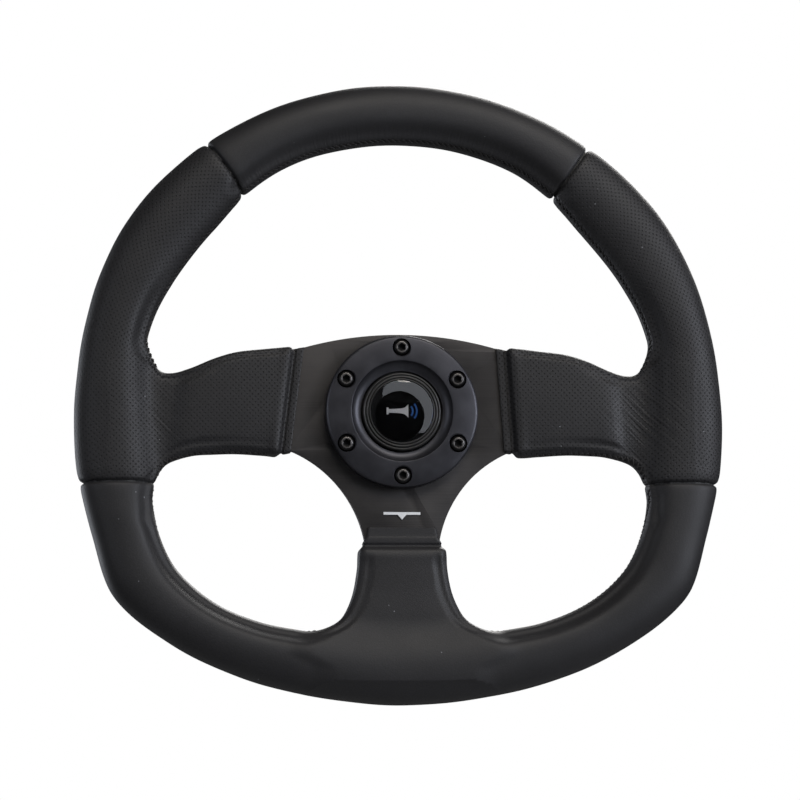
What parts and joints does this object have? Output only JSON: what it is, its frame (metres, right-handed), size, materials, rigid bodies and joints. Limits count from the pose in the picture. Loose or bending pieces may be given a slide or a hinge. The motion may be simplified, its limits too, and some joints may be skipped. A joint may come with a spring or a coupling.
{
  "type": "quick release steering wheel",
  "caption": "Three-spoke leather sports steering wheel with a flattened lower rim, a horn button in a bolted hub ring and the wheel half of a ball-lock quick release.",
  "frame": {"origin": "on the column axis, in the rear face of the quick release, which seats on the column", "axes": "+Y away from the driver along the column axis, +X to the driver's right, +Z to the top of the wheel"},
  "size_m": [0.3526, 0.0589, 0.3397],
  "materials": {
    "leather_smooth": "smooth black leather, satin",
    "leather_perforated": "perforated black leather, satin",
    "foam_grey": "moulded grey foam, matt",
    "thread_black": "black waxed thread",
    "anodised_black": "brushed and black anodised",
    "anodised_ring": "turned and dark grey anodised",
    "black_steel": "black oxide steel",
    "bright_steel": "bright hardened steel",
    "spring_steel": "bright spring wire",
    "brass": "bright pressed brass",
    "black_plastic": "moulded black plastic",
    "clear_dome": "clear cast resin over black",
    "white_print": "white printed ink",
    "blue_print": "blue printed ink",
    "red_wire": "red wire insulation",
    "black_wire": "black wire insulation",
    "natural_nylon": "natural nylon"
  },
  "bodies": {
    "wheel": {"spoke_frame": "anodised_black", "rim_foam": "foam_grey", "leather_top": "leather_smooth", "leather_left": "leather_perforated", "leather_right": "leather_perforated", "leather_bottom": "leather_smooth", "stitching_top": "thread_black", "stitching_left": "thread_black", "stitching_right": "thread_black", "stitching_lower_left": "thread_black", "stitching_lower_right": "thread_black", "horn_ring": "anodised_ring", "ring_screw_1": "black_steel", "ring_screw_2": "black_steel", "ring_screw_3": "black_steel", "ring_screw_4": "black_steel", "ring_screw_5": "black_steel", "ring_screw_6": "black_steel", "centre_mark": "white_print", "horn_button_body": "black_plastic", "horn_button_base": "natural_nylon", "horn_live_contact": "brass", "horn_earth_contact": "brass", "horn_return_spring": "spring_steel", "earth_connector": "brass", "live_lead": "red_wire", "earth_lead": "black_wire", "earth_eyelet": "brass", "earth_screw": "bright_steel", "quick_release_body": "anodised_black", "collar_spring": "spring_steel", "collar_stop_ring": "black_steel", "contact_carrier": "natural_nylon", "plunger_spring": "spring_steel"},
    "horn_cap": {"horn_button_cap": "black_plastic", "badge_disc": "black_plastic", "badge_dome": "clear_dome", "horn_symbol": "white_print", "sound_arc_inner": "blue_print", "sound_arc_outer": "blue_print", "horn_moving_contact": "brass"},
    "collar": {"release_collar": "anodised_ring"},
    "plunger": {"contact_plunger": "brass"},
    "ball_1": {"lock_ball_1": "bright_steel"},
    "ball_2": {"lock_ball_2": "bright_steel"},
    "ball_3": {"lock_ball_3": "bright_steel"},
    "ball_4": {"lock_ball_4": "bright_steel"},
    "ball_5": {"lock_ball_5": "bright_steel"},
    "ball_6": {"lock_ball_6": "bright_steel"}
  },
  "joints": [
    {"name": "horn_press", "type": "slide", "parent": "wheel", "child": "horn_cap", "axis": [0, 1, 0], "range_m": [0, 0.002], "stiffness_N_per_m": 1500, "springref_m": -0.002, "deforming": ["horn_return_spring"]},
    {"name": "collar_pull", "type": "slide", "parent": "wheel", "child": "collar", "axis": [0, -1, 0], "range_m": [0, 0.008], "stiffness_N_per_m": 1200, "springref_m": -0.005, "deforming": ["collar_spring"]},
    {"name": "plunger_press", "type": "slide", "parent": "wheel", "child": "plunger", "axis": [0, -1, 0], "range_m": [0, 0.0025], "stiffness_N_per_m": 800, "springref_m": -0.0015, "deforming": ["plunger_spring", "live_lead"]},
    {"name": "ball_1_lift", "type": "slide", "parent": "wheel", "child": "ball_1", "axis": [0.5, 0, 0.866], "range_m": [0, 0.00142]},
    {"name": "ball_2_lift", "type": "slide", "parent": "wheel", "child": "ball_2", "axis": [1, 0, 0], "range_m": [0, 0.00142]},
    {"name": "ball_3_lift", "type": "slide", "parent": "wheel", "child": "ball_3", "axis": [0.5, 0, -0.866], "range_m": [0, 0.00142]},
    {"name": "ball_4_lift", "type": "slide", "parent": "wheel", "child": "ball_4", "axis": [-0.5, 0, -0.866], "range_m": [0, 0.00142]},
    {"name": "ball_5_lift", "type": "slide", "parent": "wheel", "child": "ball_5", "axis": [-1, 0, 0], "range_m": [0, 0.00142]},
    {"name": "ball_6_lift", "type": "slide", "parent": "wheel", "child": "ball_6", "axis": [-0.5, 0, 0.866], "range_m": [0, 0.00142]}
  ],
  "couplings": [
    {"joint": "ball_1_lift", "follows": "collar_pull", "ratio": 0.175},
    {"joint": "ball_2_lift", "follows": "collar_pull", "ratio": 0.175},
    {"joint": "ball_3_lift", "follows": "collar_pull", "ratio": 0.175},
    {"joint": "ball_4_lift", "follows": "collar_pull", "ratio": 0.175},
    {"joint": "ball_5_lift", "follows": "collar_pull", "ratio": 0.175},
    {"joint": "ball_6_lift", "follows": "collar_pull", "ratio": 0.175}
  ]
}
